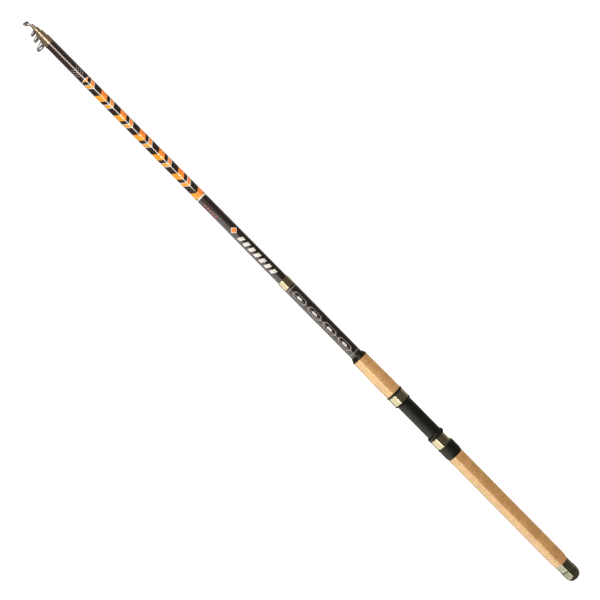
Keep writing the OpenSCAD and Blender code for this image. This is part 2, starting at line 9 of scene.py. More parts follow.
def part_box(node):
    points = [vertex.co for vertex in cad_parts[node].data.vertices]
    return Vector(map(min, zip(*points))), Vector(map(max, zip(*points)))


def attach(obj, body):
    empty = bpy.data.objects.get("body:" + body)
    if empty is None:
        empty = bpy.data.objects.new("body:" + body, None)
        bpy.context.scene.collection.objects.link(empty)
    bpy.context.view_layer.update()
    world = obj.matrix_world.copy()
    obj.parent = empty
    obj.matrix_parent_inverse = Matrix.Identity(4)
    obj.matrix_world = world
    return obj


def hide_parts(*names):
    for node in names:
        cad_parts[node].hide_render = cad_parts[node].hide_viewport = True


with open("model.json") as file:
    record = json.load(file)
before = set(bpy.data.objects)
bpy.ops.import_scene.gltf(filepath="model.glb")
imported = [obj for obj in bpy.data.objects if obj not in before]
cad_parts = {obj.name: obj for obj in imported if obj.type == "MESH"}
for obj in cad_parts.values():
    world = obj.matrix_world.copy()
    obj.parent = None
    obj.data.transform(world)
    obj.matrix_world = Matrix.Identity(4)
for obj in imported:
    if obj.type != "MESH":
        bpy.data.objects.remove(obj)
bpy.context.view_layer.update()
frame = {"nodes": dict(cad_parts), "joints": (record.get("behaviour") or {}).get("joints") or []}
nodes = frame["nodes"]

bl_info = {
    "name": "Telescopic fishing rod looks",
    "version": (1, 0, 0),
    "blender": (4, 5, 0),
    "location": "3D View > Sidebar > Rod",
    "description": "Finishes for a telescopic fishing rod: lacquered tubes, cork grips, reel seat and guides",
    "category": "Object",
}

MM = 0.001
FINISH_MARK = "rod_"

# In millimetres: least step between two radii, most glue between two corks, length of a cork's facets
LEAST_STEP = 0.05
GLUE = 0.1
CORK_CUT = 2.2

# In millimetres: radii that the paint is laid out on
HANDLE_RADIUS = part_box("handle_tube")[1][0] / MM
SECOND_RADIUS = 8.0

# Steepest smooth edge of a turned piece, and how closely sanded cork wavers
SHARP_EDGE = math.radians(32)
WAVER_RATE = 90

# How far a bar leans back and a dash leans over for each millimetre round the tube
BAR_LEAN = -0.75
DASH_LEAN = 0.55

# Where the panel's bars start, in shares of their pitch, and its rear border, in edgings
WIDE_BAR_AT = 0.18
SLIM_BAR_GAP = 0.2
REAR_BORDER = 2.2

# In millimetres: where the panel changes colour and the dashes and strokes lie, less towards the guides,
# the ends of a red stroke within its pitch, and the heights between which the tubes turn warmer
PANEL_TURN = (-6.0, 6.0)
DASH_REACH = (-5.4, 2.6)
STROKE_REACH = (-6.4, -3.2)
STROKE_ENDS = (1.0, 3.6)
WARMING = (640.0, 960.0)

# Slope of a link's pointed ends, and the shares of a link that its outline and its core take
LINK_SLOPE = 0.9
LINK_OUTLINE = (0.84, 1.0)
LINK_CORE = 0.34


def top_of(name):
    """Height of a node's upper end, in millimetres."""
    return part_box(name)[1][2] / MM


# In millimetres: where the handle tube comes out of its grip, and where it and the second section end
GRIP_END = top_of("winding_check")
HANDLE_MOUTH = top_of("mouth_ring")
SECOND_MOUTH = top_of("second_tube")


# Settings

def length(name, description, default):
    """A length in metres that the sidebar shows in the scene's units."""
    return FloatProperty(name=name, description=description, default=default * MM, unit="LENGTH", precision=5)


def paint(name, description, default):
    """A colour with its default given as linear red, green and blue."""
    return FloatVectorProperty(
        name=name, description=description, default=default, subtype="COLOR", size=3, min=0, max=1)


class RodSizes(bpy.types.PropertyGroup):
    """Sizes of the painted motifs and of the fine detail on the tubes and grips."""

    sides: IntProperty(name="Sides", description="Facets round a turned piece", default=128, min=24)
    panel_start: length("Panel start", "Height of the painted panel's rear end", SECOND_MOUTH - 303.35)
    panel_end: length("Panel end", "Height of the painted panel's front end", SECOND_MOUTH - 71.35)
    bar_pitch: length("Bar pitch", "Length after which the panel's bars repeat", 38.7)
    wide_bar: length("Wide bar", "Length of the panel's wide dark bar", 13.5)
    slim_bar: length("Slim bar", "Length of the panel's slim dark bar", 6)
    bar_edge: length("Bar edging", "Width of the pale edging of the bars", 1.1)
    dash_start: length("Dash start", "Height of the first slanted dash", HANDLE_MOUTH + 12.25)
    dash_end: length("Dash end", "Height of the last slanted dash", HANDLE_MOUTH + 87.25)
    dash_pitch: length("Dash pitch", "Length after which the slanted dashes repeat", 10.7)
    dash_gap: length("Dash gap", "Bare length before a slanted dash", 2)
    dash: length("Dash", "Length of a slanted dash", 6)
    diamond_at: length("Diamond", "Height of the diamond's middle", HANDLE_MOUTH + 98.25)
    diamond: length("Diamond size", "Half of the diamond's length", 4.6)
    diamond_edge: length("Diamond edging", "Width of the diamond's pale edging", 1)
    stroke_start: length("Stroke start", "Height of the first red stroke", HANDLE_MOUTH + 124.25)
    stroke_end: length("Stroke end", "Height of the last red stroke", HANDLE_MOUTH + 152.25)
    stroke_pitch: length("Stroke pitch", "Length after which the red strokes repeat", 5.6)
    line_start: length("Line start", "Height of the first fine line past the panel", SECOND_MOUTH - 65.35)
    line_end: length("Line end", "Height of the last fine line past the panel", SECOND_MOUTH - 49.35)
    line_pitch: length("Line pitch", "Length after which the fine lines repeat", 4)
    line: length("Line", "Width of a fine line", 0.9)
    chain_start: length("Chain start", "Height of the six-sided chain's rear end", GRIP_END + 8.45)
    links: IntProperty(name="Links", description="Six-sided links in the chain", default=4, min=1)
    chain_pitch: length("Chain pitch", "Length after which the chain's links repeat", 30)
    link: length("Link", "Half of a link's length", 13.5)
    link_reach: length("Link reach", "Half of a link's width round the tube", 4.4)
    link_shift: length("Link shift", "How far the chain sits towards the guides", 1.6)
    chain_gap: length("Chain gap", "Bare length beyond the chain", 2.8)
    chain_line: length("Chain line", "Width of the line at each end of the chain", 1)
    seam_depth: length("Seam depth", "Depth of the groove at a cork seam", 0.05)
    seam_width: length("Seam width", "Width of the rounding at a cork seam", 0.35)
    cork_waver: length("Cork waver", "How far sanded cork strays from a true round", 0.06)


class RodColours(bpy.types.PropertyGroup):
    """Colours of the finishes."""

    blank: paint("Blank", "Tube under its lacquer at the butt end", (0.0105, 0.0049, 0.0040))
    blank_warm: paint("Blank, warm", "Tube under its lacquer at the tip end", (0.026, 0.0138, 0.0122))
    panel_gold: paint("Panel, guide side", "Panel colour towards the guides", (0.94, 0.39, 0.019))
    panel_orange: paint("Panel, far side", "Panel colour away from the guides", (1.0, 0.268, 0.040))
    bar: paint("Bars", "Dark bars on the panel", (0.016, 0.0085, 0.0065))
    white: paint("White", "Pale edging and dashes", (0.76, 0.74, 0.72))
    pale: paint("Pale lines", "Fine lines on the tubes", (0.34, 0.31, 0.30))
    red: paint("Red", "Short red dashes", (0.42, 0.03, 0.03))
    cork_light: paint("Cork, light", "Light grain of the cork", (0.62, 0.325, 0.125))
    cork_deep: paint("Cork, deep", "Deep grain of the cork", (0.37, 0.180, 0.062))
    cork_pit: paint("Cork pits", "Pits and seams of the cork", (0.15, 0.060, 0.018))
    plastic: paint("Plastic", "Reel seat, nut and trim", (0.0046, 0.0052, 0.0052))
    plastic_worn: paint("Plastic, rubbed", "Rubbed patches of the plastic", (0.0074, 0.0078, 0.0075))
    nickel: paint("Nickel", "Hood bands and mouth ring", (0.29, 0.262, 0.180))
    nickel_dull: paint("Nickel, dull", "Dull lines of the bands", (0.22, 0.193, 0.128))
    gold: paint("Gold", "Guide collars", (0.19, 0.122, 0.058))
    gold_dull: paint("Gold, dull", "Dull lines of the collars", (0.14, 0.088, 0.040))
    gunmetal: paint("Gunmetal", "Butt cap and ferrule", (0.185, 0.184, 0.138))
    gunmetal_dull: paint("Gunmetal, dull", "Dull lines of the cap", (0.125, 0.124, 0.092))
    wire: paint("Wire", "Guide frames", (0.22, 0.175, 0.145))
    wire_dull: paint("Wire, dull", "Dull stretches of the wire", (0.12, 0.095, 0.08))
    ring: paint("Ring", "Hard rings of the guides", (0.050, 0.045, 0.043))
    ring_light: paint("Ring, light", "Lighter grain of the hard rings", (0.090, 0.083, 0.080))
    rubber: paint("Rubber", "Cushion pad", (0.02, 0.02, 0.02))
    rubber_dusty: paint("Rubber, dusty", "Dusty patches of the pad", (0.05, 0.047, 0.043))
    tape: paint("Tape", "Arbor tape", (0.52, 0.40, 0.24))
    tape_edge: paint("Tape edges", "Edges of the wound tape", (0.33, 0.23, 0.12))


# Shader helpers

def add(tree, kind, inputs=(), **settings):
    """A node with its settings, and its inputs linked to sockets or set to values."""
    made = tree.nodes.new(kind)
    made.location = (200 * len(tree.nodes), 0)
    for key, value in settings.items():
        setattr(made, key, value)
    for key, value in dict(inputs).items():
        if isinstance(value, bpy.types.NodeSocket):
            tree.links.new(value, made.inputs[key])
        else:
            made.inputs[key].default_value = value
    return made


def calc(tree, operation, *values):
    """Result of one arithmetic step."""
    return add(tree, "ShaderNodeMath", enumerate(values), operation=operation).outputs[0]


def stripe(tree, value, low, high):
    """Mask that is 1 where a value lies between two limits."""
    return calc(tree, "COMPARE", value, (low + high) / 2, (high - low) / 2)


def repeat(tree, value, start, pitch):
    """Distance past the last multiple of a pitch, from a start."""
    return calc(tree, "FLOORED_MODULO", calc(tree, "SUBTRACT", value, start), pitch)


def either(tree, first, *others):
    """Mask that is 1 where any mask is."""
    for other in others:
        first = calc(tree, "MAXIMUM", first, other)
    return first


def both(tree, first, *others):
    """Mask that is 1 where every mask is."""
    for other in others:
        first = calc(tree, "MULTIPLY", first, other)
    return first


def span(tree, value, low, high):
    """A value from 0 to 1 spread between two limits."""
    return add(tree, "ShaderNodeMapRange", {0: value, 3: low, 4: high}).outputs[0]


def window(tree, value, low, high):
    """Smooth rise from 0 at one limit to 1 at the other."""
    return add(tree, "ShaderNodeMapRange", {0: value, 1: low, 2: high},
               interpolation_type="SMOOTHSTEP").outputs[0]


def blend_paint(tree, mask, under, over):
    """One colour over another by a mask."""
    under = under if isinstance(under, bpy.types.NodeSocket) else (*under, 1)
    over = over if isinstance(over, bpy.types.NodeSocket) else (*over, 1)
    return add(tree, "ShaderNodeMix", {0: mask, 6: under, 7: over}, data_type="RGBA").outputs[2]


def object_place(tree):
    """Coordinates of the surface in the rod's own frame."""
    return add(tree, "ShaderNodeTexCoord").outputs["Object"]


def effect(name, inputs, outputs):
    """An empty node group with number inputs and outputs, and its two end nodes."""
    tree = bpy.data.node_groups.new(name, "ShaderNodeTree")
    for label, default in inputs:
        socket = tree.interface.new_socket(label, in_out="INPUT", socket_type="NodeSocketFloat")
        socket.default_value = default
    for label in outputs:
        tree.interface.new_socket(label, in_out="OUTPUT", socket_type="NodeSocketFloat")
    return tree, tree.nodes.new("NodeGroupInput"), tree.nodes.new("NodeGroupOutput")


def use(tree, group, **inputs):
    """Outputs of a node group placed in a tree."""
    placed = add(tree, "ShaderNodeGroup", node_tree=group)
    for label, value in inputs.items():
        socket = placed.inputs[label.replace("_", " ").capitalize()]
        if isinstance(value, bpy.types.NodeSocket):
            tree.links.new(value, socket)
        else:
            socket.default_value = value
    return placed.outputs


# Shared effects

def make_rod_place():
    """Height in millimetres, and the angle from the nearer of the two marked sides of the rod."""
    tree, _, out = effect("Rod place", (), ("Height", "Side", "Turn", "Across"))
    place = add(tree, "ShaderNodeSeparateXYZ", {0: object_place(tree)}).outputs
    height = calc(tree, "DIVIDE", place["Z"], MM)
    side = calc(tree, "ARCTAN2", place["X"], calc(tree, "ABSOLUTE", place["Y"]))
    turn = calc(tree, "ARCTAN2", place["Y"], place["X"])
    for label, value in (("Height", height), ("Side", side), ("Turn", turn),
                         ("Across", calc(tree, "DIVIDE", place["X"], MM))):
        tree.links.new(value, out.inputs[label])
    return tree


def make_turning_lines(place):
    """Fine rings that a lathe leaves, as a value about a half."""
    tree, given, out = effect("Turning lines", (("Pitch", 0.25),), ("Line",))
    height = use(tree, place)["Height"]
    along = calc(tree, "DIVIDE", height, given.outputs["Pitch"])
    line = add(tree, "ShaderNodeTexNoise", {"W": along, "Scale": 1.0, "Detail": 3.0, "Roughness": 0.6},
               noise_dimensions="1D").outputs[0]
    tree.links.new(line, out.inputs["Line"])
    return tree


def make_fine_grain():
    """Even fine grain of a moulded or blasted surface."""
    tree, given, out = effect("Fine grain", (("Scale", 1500.0), ("Detail", 2.0)), ("Grain",))
    grain = add(tree, "ShaderNodeTexNoise", {
        "Vector": object_place(tree),
        "Scale": given.outputs["Scale"],
        "Detail": given.outputs["Detail"]}).outputs[0]
    tree.links.new(grain, out.inputs["Grain"])
    return tree


def make_handling():
    """Patches rubbed by hands: soft where handled, sharp streaks along the rod."""
    tree, given, out = effect("Handling", (("Scale", 60.0), ("Share", 0.5)), ("Rubbed",))
    stretched = add(tree, "ShaderNodeMapping", {0: object_place(tree), "Scale": (1.0, 1.0, 0.22)}).outputs[0]
    patch = add(tree, "ShaderNodeTexNoise", {
        "Vector": stretched, "Scale": given.outputs["Scale"], "Detail": 4.0, "Roughness": 0.62}).outputs[0]
    low = calc(tree, "SUBTRACT", 1.0, given.outputs["Share"])
    rubbed = window(tree, patch, low, calc(tree, "ADD", low, 0.22))
    tree.links.new(rubbed, out.inputs["Rubbed"])
    return tree


def make_tape_wrap(place):
    """Faint spiral ridges that the winding tape leaves under the lacquer."""
    tree, given, out = effect("Tape wrap", (("Pitch", 3.0),), ("Ridge",))
    where = use(tree, place)
    climb = calc(tree, "MULTIPLY", calc(tree, "DIVIDE", where["Turn"], math.tau), given.outputs["Pitch"])
    share = calc(tree, "DIVIDE", calc(tree, "ADD", where["Height"], climb), given.outputs["Pitch"])
    ridge = calc(tree, "SINE", calc(tree, "MULTIPLY", share, math.tau))
    tree.links.new(span(tree, calc(tree, "MULTIPLY_ADD", ridge, 0.5, 0.5), 0.0, 1.0), out.inputs["Ridge"])
    return tree


def make_cork_figure(place):
    """Tone of each cork ring, its pits and the seams between rings."""
    tree, given, out = effect("Cork figure", (("Start", 0.0), ("Ring", 12.55)), ("Tone", "Pits", "Seams"))
    height = use(tree, place)["Height"]
    past = calc(tree, "DIVIDE", calc(tree, "SUBTRACT", height, given.outputs["Start"]), given.outputs["Ring"])
    number = calc(tree, "FLOOR", past)
    share = calc(tree, "FRACT", past)
    ring_tone = add(tree, "ShaderNodeTexWhiteNoise", {"W": number}, noise_dimensions="1D").outputs[0]
    shift = add(tree, "ShaderNodeCombineXYZ", {"Z": calc(tree, "MULTIPLY", number, 0.37)}).outputs[0]
    spot = add(tree, "ShaderNodeVectorMath", {0: object_place(tree), 1: shift}, operation="ADD").outputs[0]
    cloud = add(tree, "ShaderNodeTexNoise", {"Vector": spot, "Scale": 260.0, "Detail": 4.0}).outputs[0]
    flat = add(tree, "ShaderNodeMapping", {0: spot, "Scale": (0.4, 0.4, 1.6)}).outputs[0]
    streak = add(tree, "ShaderNodeTexNoise", {"Vector": flat, "Scale": 620.0, "Detail": 3.0}).outputs[0]
    grain = calc(tree, "MULTIPLY_ADD", window(tree, cloud, 0.34, 0.66), 0.4,
                 calc(tree, "MULTIPLY", window(tree, streak, 0.36, 0.64), 0.45))
    tone = calc(tree, "MULTIPLY_ADD", ring_tone, 0.3, grain)
    cells = add(tree, "ShaderNodeTexVoronoi", {"Vector": flat, "Scale": 420.0}).outputs["Distance"]
    thin = add(tree, "ShaderNodeTexNoise", {"Vector": flat, "Scale": 330.0, "Detail": 3.0}).outputs[0]
    middle = calc(tree, "SUBTRACT", 1.0, window(tree, cells, 0.12, 0.34))
    pits = both(tree, middle, window(tree, thin, 0.5, 0.62))
    seam = calc(tree, "SUBTRACT", 1.0, window(tree, calc(tree, "PINGPONG", share, 0.5), 0.012, 0.04))
    for label, value in (("Tone", tone), ("Pits", pits), ("Seams", seam)):
        tree.links.new(value, out.inputs[label])
    return tree


# Finishes

def start_finish(name):
    """A new node material, its tree and its surface shader."""
    material = bpy.data.materials.new(FINISH_MARK + name)
    material.use_nodes = True
    return material, material.node_tree, material.node_tree.nodes["Principled BSDF"]


def set_surface(tree, shader, **values):
    """Sets or links the surface shader's inputs, named in lower case with underscores."""
    labels = {label.lower().replace(" ", "_"): label for label in shader.inputs.keys()}
    for key, value in values.items():
        socket = shader.inputs[labels[key]]
        if isinstance(value, bpy.types.NodeSocket):
            tree.links.new(value, socket)
        else:
            socket.default_value = value


def raised(tree, height, strength, distance):
    """Normal of a surface raised by a height."""
    return add(tree, "ShaderNodeBump", {
        "Strength": strength, "Distance": distance, "Height": height}).outputs["Normal"]


def metal_finish(name, bright, dull, effects, pitch, rough, spread, bare, gloss=0.5):
    """Turned metal: lathe rings, duller lines and rubbed patches, bare or under a glossy lacquer."""
    material, tree, shader = start_finish(name)
    line = use(tree, effects["lines"], pitch=pitch)["Line"]
    rubbed = use(tree, effects["handling"], scale=140.0, share=0.5)["Rubbed"]
    mixed = calc(tree, "MULTIPLY_ADD", rubbed, 0.35, calc(tree, "MULTIPLY", line, 0.65))
    set_surface(
        tree, shader,
        base_color=blend_paint(tree, mixed, dull, bright),
        metallic=bare,
        specular_ior_level=gloss,
        roughness=span(tree, calc(tree, "SUBTRACT", 1.0, mixed), rough, rough + spread),
        normal=raised(tree, line, strength=0.12, distance=0.00004))
    return material


def plastic_finish(name, colours, effects):
    """Satin moulded plastic with a fine grain, a little rubbed."""
    material, tree, shader = start_finish(name)
    grain = use(tree, effects["grain"], scale=2600.0, detail=2.0)["Grain"]
    rubbed = use(tree, effects["handling"], scale=75.0, share=0.46)["Rubbed"]
    set_surface(
        tree, shader,
        base_color=blend_paint(tree, rubbed, colours.plastic, colours.plastic_worn),
        roughness=span(tree, calc(tree, "MULTIPLY_ADD", rubbed, -0.5, grain), 0.38, 0.46),
        specular_ior_level=0.16,
        specular_tint=(1.0, 1.0, 0.78, 1.0),
        normal=raised(tree, grain, strength=0.12, distance=0.00004))
    return material


def rubber_finish(name, colours, effects):
    """Matt rubber with dust in its grain."""
    material, tree, shader = start_finish(name)
    grain = use(tree, effects["grain"], scale=1800.0, detail=3.0)["Grain"]
    dust = use(tree, effects["handling"], scale=180.0, share=0.5)["Rubbed"]
    set_surface(
        tree, shader,
        base_color=blend_paint(tree, dust, colours.rubber, colours.rubber_dusty),
        roughness=span(tree, grain, 0.7, 0.95),
        normal=raised(tree, grain, strength=0.5, distance=0.0001))
    return material


def tape_finish(name, colours, effects):
    """Wound paper tape with dark edges and fibre."""
    material, tree, shader = start_finish(name)
    edge = window(tree, use(tree, effects["wrap"], pitch=6.0)["Ridge"], 0.86, 0.97)
    grain = use(tree, effects["grain"], scale=1400.0, detail=4.0)["Grain"]
    set_surface(
        tree, shader,
        base_color=blend_paint(tree, calc(tree, "MAXIMUM", edge, calc(tree, "MULTIPLY", grain, 0.5)),
                               colours.tape, colours.tape_edge),
        roughness=span(tree, grain, 0.75, 0.95),
        normal=raised(tree, calc(tree, "ADD", edge, grain), strength=0.3, distance=0.0001))
    return material


def ring_finish(name, colours, effects):
    """Polished hard ring with a faint grain."""
    material, tree, shader = start_finish(name)
    grain = use(tree, effects["grain"], scale=2200.0, detail=3.0)["Grain"]
    set_surface(
        tree, shader,
        base_color=blend_paint(tree, grain, colours.ring, colours.ring_light),
        roughness=span(tree, grain, 0.25, 0.4),
        normal=raised(tree, grain, strength=0.08, distance=0.00003))
    return material


def cork_finish(name, colours, effects, node, paler):
    """Sanded and sealed cork rings: a tone for each ring, dark pits and fine seams, paler where asked."""
    material, tree, shader = start_finish(name)
    sides = cork_sides(node)[1]
    start = sides[0][0][1]
    ring = sides[1][0][1] - start
    figure = use(tree, effects["cork"], start=start, ring=ring)
    grain = use(tree, effects["grain"], scale=1100.0, detail=4.0)["Grain"]
    dark = calc(tree, "MAXIMUM", figure["Pits"], calc(tree, "MULTIPLY", figure["Seams"], 0.2))
    tone = blend_paint(tree, calc(tree, "ADD", figure["Tone"], paler), colours.cork_deep, colours.cork_light)
    relief = calc(tree, "SUBTRACT", calc(tree, "MULTIPLY", grain, 0.3), dark)
    set_surface(
        tree, shader,
        base_color=blend_paint(tree, calc(tree, "MULTIPLY", dark, 0.8), tone, colours.cork_pit),
        roughness=span(tree, calc(tree, "MAXIMUM", dark, calc(tree, "MULTIPLY", grain, 0.4)), 0.15, 0.6),
        ior=1.6,
        specular_ior_level=0.95,
        specular_tint=(1.0, 0.97, 0.68, 1.0),
        normal=raised(tree, relief, strength=0.25, distance=0.00018))
    return material


def blank_base(tree, colours, effects):
    """Tube under its lacquer: colour, warmer towards the tip, and ridges of the winding tape."""
    wrap = use(tree, effects["wrap"], pitch=4.2)["Ridge"]
    streak = use(tree, effects["handling"], scale=110.0, share=0.52)["Rubbed"]
    height = use(tree, effects["place"])["Height"]
    mottle = calc(tree, "MULTIPLY_ADD", streak, 0.6, calc(tree, "MULTIPLY", wrap, 0.4))
    warm = calc(tree, "MULTIPLY_ADD", mottle, 0.2, window(tree, height, *WARMING))
    return blend_paint(tree, warm, colours.blank, colours.blank_warm), wrap


def lacquer(tree, shader, colour, wrap, effects):
    """Clear gloss lacquer over a painted tube."""
    rubbed = use(tree, effects["handling"], scale=45.0, share=0.5)["Rubbed"]
    set_surface(
        tree, shader,
        base_color=colour,
        roughness=span(tree, rubbed, 0.40, 0.50),
        specular_ior_level=0.1,
        coat_weight=span(tree, rubbed, 0.74, 0.62),
        coat_roughness=0.06,
        normal=raised(tree, wrap, strength=0.10, distance=0.00003))


def plain_blank_finish(name, colours, effects):
    """Lacquered tube without paint."""
    material, tree, shader = start_finish(name)
    colour, wrap = blank_base(tree, colours, effects)
    lacquer(tree, shader, colour, wrap, effects)
    return material


def handle_blank_finish(name, sizes, colours, effects):
    """Handle tube with a chain of pale six-sided links on both sides, and a line at each end of it."""
    material, tree, shader = start_finish(name)
    colour, wrap = blank_base(tree, colours, effects)
    where = use(tree, effects["place"])
    height = where["Height"]
    start, pitch = sizes.chain_start / MM, sizes.chain_pitch / MM
    end = start + sizes.links * pitch
    gap, line = sizes.chain_gap / MM, sizes.chain_line / MM
    round_tube = calc(tree, "MULTIPLY_ADD", where["Side"], HANDLE_RADIUS, sizes.link_shift / MM)
    arc = calc(tree, "ABSOLUTE", round_tube)
    cell = calc(tree, "ABSOLUTE", calc(tree, "SUBTRACT", repeat(tree, height, start, pitch), pitch / 2))
    flank = calc(tree, "DIVIDE", arc, sizes.link_reach / MM)
    slope = calc(tree, "DIVIDE", calc(tree, "MULTIPLY_ADD", arc, LINK_SLOPE, cell), sizes.link / MM)
    six = calc(tree, "MAXIMUM", flank, slope)
    zone = stripe(tree, height, start, end)
    outline = both(tree, stripe(tree, six, *LINK_OUTLINE), zone)
    core = both(tree, stripe(tree, six, -1.0, LINK_CORE), zone)
    ends = either(tree, stripe(tree, height, start - gap - line, start - gap),
                  stripe(tree, height, end + gap, end + gap + line))
    pale = calc(tree, "MULTIPLY", either(tree, outline, ends), 0.85)
    colour = blend_paint(tree, pale, colour, colours.pale)
    colour = blend_paint(tree, calc(tree, "MULTIPLY", core, 0.9), colour, colours.white)
    lacquer(tree, shader, colour, wrap, effects)
    return material


def painted_blank_finish(name, sizes, colours, effects):
    """Second section: barred panel, slanted dashes, a diamond and fine lines, the same on both sides."""
    material, tree, shader = start_finish(name)
    colour, wrap = blank_base(tree, colours, effects)
    where = use(tree, effects["place"])
    height = where["Height"]
    arc = calc(tree, "MULTIPLY", where["Side"], SECOND_RADIUS)
    reach = calc(tree, "ABSOLUTE", arc)
    point = calc(tree, "MULTIPLY_ADD", reach, BAR_LEAN, height)

    # Panel in two oranges with dark pointed bars, pale at their edges and at its ends
    start, end = sizes.panel_start / MM, sizes.panel_end / MM
    wide, slim, edge = sizes.wide_bar / MM, sizes.slim_bar / MM, sizes.bar_edge / MM
    pitch = sizes.bar_pitch / MM
    past = repeat(tree, point, start, pitch)
    wide_at = WIDE_BAR_AT * pitch
    slim_at = wide_at + wide + SLIM_BAR_GAP * pitch
    dark = either(tree, stripe(tree, past, wide_at, wide_at + wide),
                  stripe(tree, past, slim_at, slim_at + slim))
    edged = either(tree, stripe(tree, past, wide_at + wide, wide_at + wide + edge),
                   stripe(tree, past, slim_at - edge, slim_at))
    panel = stripe(tree, height, start, end)
    border = either(tree, stripe(tree, height, start - REAR_BORDER * edge, start),
                    stripe(tree, height, end, end + edge))
    to_far_side = window(tree, where["Across"], *PANEL_TURN)
    field = blend_paint(tree, to_far_side, colours.panel_gold, colours.panel_orange)
    field = blend_paint(tree, dark, field, colours.bar)
    field = blend_paint(tree, edged, field, colours.white)
    colour = blend_paint(tree, panel, colour, field)

    # Slanted dashes in front of the handle, towards the guides, with a diamond after them
    slant = calc(tree, "MULTIPLY_ADD", arc, DASH_LEAN, height)
    first, last, gap = sizes.dash_start / MM, sizes.dash_end / MM, sizes.dash_gap / MM
    past = repeat(tree, slant, first, sizes.dash_pitch / MM)
    dash = both(tree, stripe(tree, past, gap, gap + sizes.dash / MM),
                stripe(tree, slant, first, last),
                stripe(tree, arc, *DASH_REACH))
    past_middle = calc(tree, "ABSOLUTE", calc(tree, "SUBTRACT", height, sizes.diamond_at / MM))
    diamond = calc(tree, "ADD", past_middle, reach)
    inner = sizes.diamond / MM
    white = either(tree, border, dash, stripe(tree, diamond, inner, inner + sizes.diamond_edge / MM))
    colour = blend_paint(tree, white, colour, colours.white)
    colour = blend_paint(tree, stripe(tree, diamond, -1.0, inner), colour, colours.panel_orange)

    # Short red strokes behind the panel, towards the guides, and fine pale lines in front of it
    first, last = sizes.stroke_start / MM, sizes.stroke_end / MM
    past = repeat(tree, slant, first, sizes.stroke_pitch / MM)
    strokes = both(tree, stripe(tree, past, *STROKE_ENDS),
                   stripe(tree, slant, first, last),
                   stripe(tree, arc, *STROKE_REACH))
    colour = blend_paint(tree, strokes, colour, colours.red)
    first, last = sizes.line_start / MM, sizes.line_end / MM
    past = repeat(tree, point, first, sizes.line_pitch / MM)
    lines = both(tree, stripe(tree, past, 0.0, sizes.line / MM), stripe(tree, point, first, last))
    colour = blend_paint(tree, lines, colour, colours.pale)
    lacquer(tree, shader, colour, wrap, effects)
    return material


def finish_named(name):
    """One of the finishes. All of them and the shared effects in them are made at the first call."""
    if "Rod place" not in bpy.data.node_groups:
        sizes, colours = bpy.context.scene.rod_sizes, bpy.context.scene.rod_colours
        place = make_rod_place()
        effects = {
            "place": place,
            "lines": make_turning_lines(place),
            "grain": make_fine_grain(),
            "handling": make_handling(),
            "wrap": make_tape_wrap(place),
            "cork": make_cork_figure(place),
        }
        metal_finish("nickel", colours.nickel, colours.nickel_dull, effects,
                     pitch=0.22, rough=0.10, spread=0.08, bare=1.0)
        metal_finish("gold", colours.gold, colours.gold_dull, effects,
                     pitch=0.18, rough=0.28, spread=0.06, bare=0.15, gloss=0.95)
        metal_finish("gunmetal", colours.gunmetal, colours.gunmetal_dull, effects,
                     pitch=0.3, rough=0.08, spread=0.10, bare=1.0)
        metal_finish("wire", colours.wire, colours.wire_dull, effects,
                     pitch=0.6, rough=0.45, spread=0.15, bare=0.4)
        plastic_finish("black_plastic", colours, effects)
        rubber_finish("rubber", colours, effects)
        tape_finish("tape", colours, effects)
        ring_finish("ceramic", colours, effects)
        cork_finish("rear_cork", colours, effects, "rear_grip_corks", paler=0.0)
        cork_finish("front_cork", colours, effects, "front_grip_corks", paler=0.3)
        plain_blank_finish("plain_blank", colours, effects)
        handle_blank_finish("handle_blank", sizes, colours, effects)
        painted_blank_finish("painted_blank", sizes, colours, effects)
    return bpy.data.materials[FINISH_MARK + name]


def coat_nodes(finish, *names):
    """Puts a finish on solids that keep their own shape."""
    material = finish_named(finish)
    for name in names:
        slots = nodes[name].material_slots
        if slots:
            for each in slots:
                each.material = material
        else:
            nodes[name].data.materials.append(material)


# Turned pieces, in millimetres from the butt's end

def apart(values, gap):
    """Values in order, without those that lie within a gap of the one before."""
    kept = []
    for value in sorted(values):
        if not kept or value - kept[-1] > gap:
            kept.append(value)
    return kept


def rings_of(name):
    """Heights of the rings of corners on a turned solid, each with its radii."""
    rings = {}
    for vert in nodes[name].data.vertices:
        rings.setdefault(round(vert.co.z / MM, 2), []).append(math.hypot(vert.co.x, vert.co.y) / MM)
    return {height: apart(rings[height], LEAST_STEP) for height in sorted(rings)}


def tube_profile(name):
    """Outline of a section's wall as its solid has it: up the outside, then down the inside or the axis."""
    rings = rings_of(name)
    low, high = min(rings), max(rings)
    filled = len(rings[low]) == 1
    if filled:
        return [(radii[-1], z) for z, radii in rings.items()] + [(0, high), (0, low)]
    middle = {z: (rings[z][0] + rings[z][-1]) / 2 for z in (low, high)}

    def outside(radius, z):
        share = (z - low) / (high - low)
        return radius > middle[low] * (1 - share) + middle[high] * share

    outer = [(r, z) for z, radii in rings.items() for r in reversed(radii) if outside(r, z)]
    inner = [(r, z) for z, radii in rings.items() for r in radii if not outside(r, z)]
    return outer + inner[::-1]


def cork_sides(name):
    """Bore of a grip, and the outer side of each of its cork rings from the rear to the front."""
    rings = rings_of(name)
    sides, last = [], -GLUE
    for z, radii in rings.items():
        if not sides or z - last < GLUE:
            sides.append([])
        sides[-1].append((radii[-1], z))
        last = z
    return rings[min(rings)][0], sides


